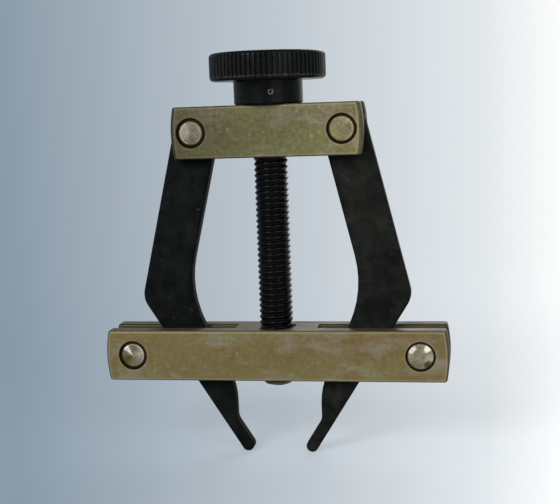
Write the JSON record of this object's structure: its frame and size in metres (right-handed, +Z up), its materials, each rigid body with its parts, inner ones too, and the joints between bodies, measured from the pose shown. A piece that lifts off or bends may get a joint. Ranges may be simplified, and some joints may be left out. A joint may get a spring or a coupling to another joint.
{
  "type": "roller chain puller",
  "caption": "Screw-operated roller chain puller: a knurled knob turns a threaded screw that draws a forked bar up cranked jaw arms and closes their tips on a chain.",
  "frame": {"origin": "on the screw's axis at the level of the jaw tips, the lowest point of the tool", "axes": "+Z up the screw's axis towards the knob, +X along the two bars, +Y from the front faces to the back faces"},
  "size_m": [0.0968, 0.032, 0.1125],
  "materials": {
    "black_oxide_steel": "black oxide on steel, matt, with faint grey handling marks",
    "plated_bar_steel": "aged yellow zinc plating, dull olive brass, mottled and lightly scratched",
    "turned_pin_steel": "bare turned steel with fine circular tool marks",
    "spring_steel": "dark spring steel"
  },
  "bodies": {
    "upper_bar": {"upper_bar": "plated_bar_steel", "left_pivot_pin": "turned_pin_steel", "right_pivot_pin": "turned_pin_steel"},
    "screw": {"screw": "black_oxide_steel", "knob": "black_oxide_steel", "knob_roll_pin": "spring_steel"},
    "lower_bar": {"lower_bar": "plated_bar_steel", "left_guide_pin": "turned_pin_steel", "right_guide_pin": "turned_pin_steel"},
    "left_arm": {"left_arm": "black_oxide_steel"},
    "right_arm": {"right_arm": "black_oxide_steel"}
  },
  "joints": [
    {"name": "screw_turn", "type": "hinge", "parent": "upper_bar", "child": "screw", "pos_m": [0, 0, 0.0912], "axis": [0, 0, -1], "range_deg": [-360, 3600]},
    {"name": "lower_bar_slide", "type": "slide", "parent": "upper_bar", "child": "lower_bar", "axis": [0, 0, 1], "range_m": [-0.0016, 0.0159]},
    {"name": "left_arm_swing", "type": "hinge", "parent": "upper_bar", "child": "left_arm", "pos_m": [-0.0208, 0, 0.0912], "axis": [0, -1, 0], "range_deg": [-0.24, 2.4]},
    {"name": "right_arm_swing", "type": "hinge", "parent": "upper_bar", "child": "right_arm", "pos_m": [0.0208, 0, 0.0912], "axis": [0, 1, 0], "range_deg": [-0.24, 2.4]}
  ],
  "couplings": [
    {"joint": "lower_bar_slide", "follows": "screw_turn", "m_per_rad": 0.00025266},
    {"joint": "left_arm_swing", "follows": "screw_turn", "ratio": 0.00065},
    {"joint": "right_arm_swing", "follows": "screw_turn", "ratio": 0.00065}
  ]
}
